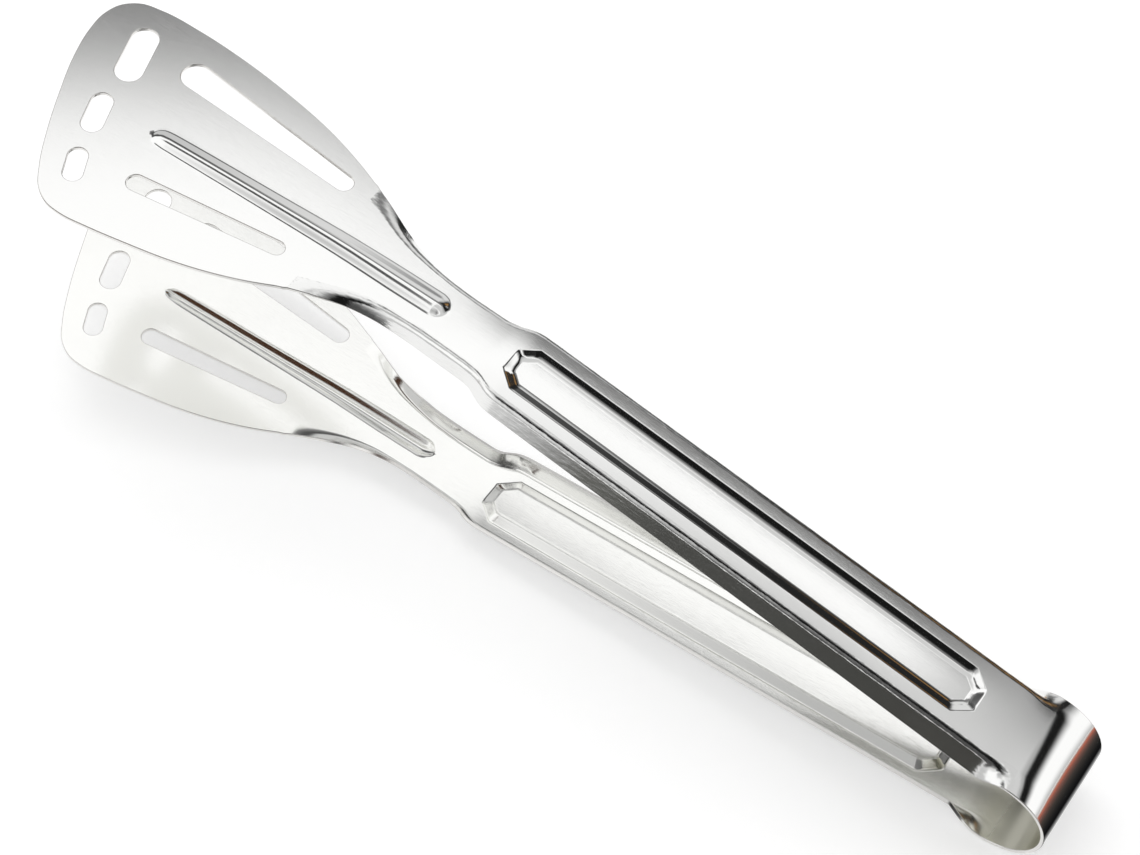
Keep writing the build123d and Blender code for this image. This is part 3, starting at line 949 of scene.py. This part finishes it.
def tent_glow(az, el):
    """Brightness of the tent. az is the direction along the floor, 0 at +X and 90 at +Y, and
    el the height above it, both in degrees. Each line fades one area of the tent into
    another between the angles that soft() is given."""
    top = np.interp(az, FAR_WALL[:, 0], FAR_WALL[:, 1])
    blur = np.interp(az, (-95, -75), (1.2, 2.2))
    # far wall: dark behind the rear of the handles, pale behind their front
    start = -91 - 7 * soft(el, 16, 28)
    low = toward(WALL_DARK, WALL_PALE, soft(az, start, start + 12))
    # low down it is dark as far as the front of the handles
    low_down = (1 - soft(el, 18, 22)) * (1 - soft(az, -76, -70))
    low = toward(low, toward(WALL_DARK, WALL_LOW_DOWN, soft(az, -91, -76)), low_down)
    low = toward(low, WALL_AT_HEADS, soft(az, -70, -64))
    low = toward(low, WALL_UPPER_DARK, soft(az, -74, -62) * soft(el, 26, 34))
    wall = toward(low, WALL_TOP, soft(el, 40, 51))
    glow = toward(wall, WHITE, soft(el, top - blur, top + blur))
    # light grey above the strip of white that the panel mirrors
    upper = np.interp(az, (-119, -113, -105, -98), (59.9, 61.6, 63.2, 64.4))
    shade = toward(CEILING_REAR, CEILING_FRONT, soft(az, -124, -92))
    glow = toward(glow, np.minimum(shade, glow), soft(el, upper - 0.8, upper + 0.8))
    # behind the bow: grey for the root of the handle, black for the fold, white low down
    rear = toward(ROOT_LOW, ROOT_HIGH, soft(el, 52, 60))
    rear = toward(rear, FOLD_BLACK, 1 - soft(el, 47.5, 52))
    rear = toward(rear, BOW_WHITE, 1 - soft(el, 27, 40))
    rear = toward(rear, BOW_GREY, 1 - soft(el, -3, 13))
    slanted = az + 0.7 * (np.maximum(el, 45) - 55)
    glow = toward(glow, rear, soft(-slanted, 118.4, 119.4) * (1 - soft(el, 66, 74)))
    # side of the camera: a half-dark room with the black stand behind the camera
    edge = 84 + 0.5 * (el - 8)
    room = toward(ROOM, ROOM_DARK, soft(az, edge - 8, edge + 8))
    room = toward(room, STAND, soft(az, 84, 90) * soft(el, 40, 44))
    room = toward(room, ABOVE_STAND, soft(el, 61, 68))
    room = toward(room, ROOM, soft(el, 68, 84))
    glow = toward(glow, room, soft(az, 76, 84) * (1 - soft(az, 158, 176)))
    # grey beside it, which the pressed slopes of the lower arm mirror
    beside = soft(az, 40, 70) * (1 - soft(az, 78, 84)) * soft(el, 50, 56) * (1 - soft(el, 66, 76))
    return toward(glow, BESIDE, beside)


# %% Cards and grids that only reflections see


def between(x, low, high, fade):
    """1 from low to high, fading to 0 over the distance fade outside them."""
    return soft(x, low - fade, low) * (1 - soft(x, high, high + fade))


def reflected_only(card):
    """Lets nothing but reflections see a card, which glows as its Glow attribute says. The
    renderer doesn't aim light rays at it, because it lights nothing."""
    material = bpy.data.materials.new(card.name)
    material.use_nodes = True
    tree = material.node_tree
    shader = tree.nodes["Principled BSDF"]
    shader.inputs["Base Color"].default_value = (0, 0, 0, 1)
    shader.inputs["Specular IOR Level"].default_value = 0.0
    shader.inputs["Emission Strength"].default_value = 1.0
    glow = add_node(tree, "Attribute", attribute_name="Glow")
    tree.links.new(glow.outputs["Color"], shader.inputs["Emission Color"])
    material.cycles.emission_sampling = "NONE"
    card.data.materials.append(material)
    bpy.context.scene.collection.objects.link(card)
    for ray in ("camera", "diffuse", "transmission", "volume_scatter", "shadow"):
        setattr(card, "visible_" + ray, False)


def glowing_grid(name, points, glow):
    """Mesh from a grid of points, with one brightness or colour per point."""
    index = np.arange(points[..., 0].size).reshape(points.shape[:2])
    mesh = bpy.data.meshes.new(name)
    mesh.from_pydata(points.reshape(-1, 3), [], grid_faces(index, False))
    colours = np.ones((index.size, 4))
    colours[:, :3] = glow.reshape(index.size, -1)
    layer = mesh.color_attributes.new("Glow", "FLOAT_COLOR", "POINT")
    layer.data.foreach_set("color", colours.ravel())
    reflected_only(bpy.data.objects.new(name, mesh))


# %% Tent
TENT_RADIUS, TENT_COLUMNS, TENT_ROWS = 8.0, 241, 193
LAMP_FRAME, LAMP_FRAME_HEIGHT = (0.1, 0.1, 0.1), 75
WOOD = (0.32, 0.18, 0.07)
tent_az, tent_el = np.meshgrid(
    np.linspace(-180, 180, TENT_COLUMNS), np.linspace(-6, 90, TENT_ROWS))
a, e = np.radians(tent_az), np.radians(tent_el)
tent = TENT_RADIUS * np.stack([np.cos(a) * np.cos(e), np.sin(a) * np.cos(e), np.sin(e)], -1)
tent_light = np.repeat(tent_glow(tent_az, tent_el)[..., None], 3, axis=-1)
# frame of an overhead lamp ahead of the tongs, and wood low on the far side
from_lamp = np.hypot(tent_az * np.cos(e), tent_el - LAMP_FRAME_HEIGHT)
for share, colour in (
    (1 - soft(from_lamp, 7, 11), LAMP_FRAME),
    (between(tent_az, -108, -101, 3) * between(tent_el, 22, 31, 3), WOOD),
):
    tent_light = toward(tent_light, np.array(colour), share[..., None])
glowing_grid("light_tent", tent, tent_light)
print("tent from", round(tent_light.min(), 2), "to", round(tent_light.max(), 2))

# %% [markdown]
# ## Cards
#
# The tent is the same from everywhere, but a card close by is mirrored by one
# part of the steel and missed by its neighbours. The floor cards lie under the
# folds and behind the bow, and an upright one stands beside the heads. The one
# beside the handles and the one behind the bow are painted shadow.

# %% Cards
CARD_ALONG, CARD_ACROSS = 161, 61  # points of a floor card's grid


def faded_card(name, a, b, points, colour, fade):
    """Card over a grid of the distances a and b, in millimetres. The colour fades to white
    over the distance fade from the card's rim, so the card has no visible edge."""
    rim = np.minimum(
        np.minimum(a - a.min(), a.max() - a), np.minimum(b - b.min(), b.max() - b))
    glowing_grid(name, points * MM, toward(1.0, colour, soft(rim, 0, fade)[..., None]))


def floor_card(name, y, stops, fade, height=0.2):
    """Card just above the floor. stops are rows of x and a colour, read along x, and y is
    its range across."""
    stops = np.array(stops)
    x, y = np.meshgrid(
        np.linspace(*stops[[0, -1], 0], CARD_ALONG), np.linspace(*y, CARD_ACROSS), indexing="ij")
    colour = np.stack([np.interp(x, stops[:, 0], stops[:, k]) for k in (1, 2, 3)], -1)
    faded_card(name, x, y, np.stack([x, y, np.full(x.shape, height)], -1), colour, fade)


# upright card for the groove of the lower head's rib
BROWN, BROWN_FADE = np.array([0.06, 0.028, 0.015]), 8
BROWN_X, BROWN_Y, BROWN_Z = (52, 193), 60, (62, 128)
card_x, card_z = np.meshgrid(np.linspace(*BROWN_X, 48), np.linspace(*BROWN_Z, 34))
upright = np.stack([card_x, np.full(card_x.shape, BROWN_Y), card_z], -1)
faded_card("card_beside_heads", card_x, card_z, upright, BROWN, BROWN_FADE)
# painted shadow on the near side of the handles: dark along their rear, where the tongs shade the
# table, fading to white ahead, for the near flanges to mirror
floor_card("painted_shadow_beside_handle", (30, 330), [
    (-210, 0.06, 0.055, 0.05), (-90, 0.07, 0.07, 0.065), (-20, 0.08, 0.08, 0.075),
    (10, 0.14, 0.14, 0.13), (35, 0.5, 0.5, 0.5), (60, 0.9, 0.9, 0.9), (90, 1, 1, 1)], 30)
# painted shade: black close behind the bow, where it shades the table, turning to warm reds and
# greys farther back
floor_card("painted_shade_behind_bow", (-500, 60), [
    (-900, 0.8, 0.7, 0.65), (-550, 0.5, 0.35, 0.30), (-330, 0.52, 0.14, 0.09),
    (-240, 0.21, 0.10, 0.08), (-193, 0.06, 0.05, 0.045), (-168, 0.018, 0.018, 0.018),
    (-155, 0.004, 0.004, 0.005), (-152, 0.03, 0.03, 0.035), (-149, 0.35, 0.35, 0.35),
    (-146, 0.8, 0.8, 0.8), (-141, 1, 1, 1)], 3, 0.3)
floor_card("card_far_floor", (-330, -140), [
    (-230, 0.55, 0.28, 0.10), (-120, 0.52, 0.32, 0.16), (-90, 0.32, 0.29, 0.24),
    (-50, 0.6, 0.6, 0.6), (0, 1, 1, 1)], 25, 0.4)
floor_card("card_distant_floor", (-1400, -360), [
    (-400, 0.22, 0.2, 0.18), (-120, 0.08, 0.08, 0.08), (60, 0.06, 0.06, 0.06),
    (300, 0.4, 0.4, 0.4), (600, 1, 1, 1)], 50, 0.5)

# %% [markdown]
# ## Finish
#
# The Standard view shows colours as they are written.

# %% Finish
scene = bpy.context.scene
scene.view_settings.view_transform = "Standard"
bpy.context.view_layer.update()
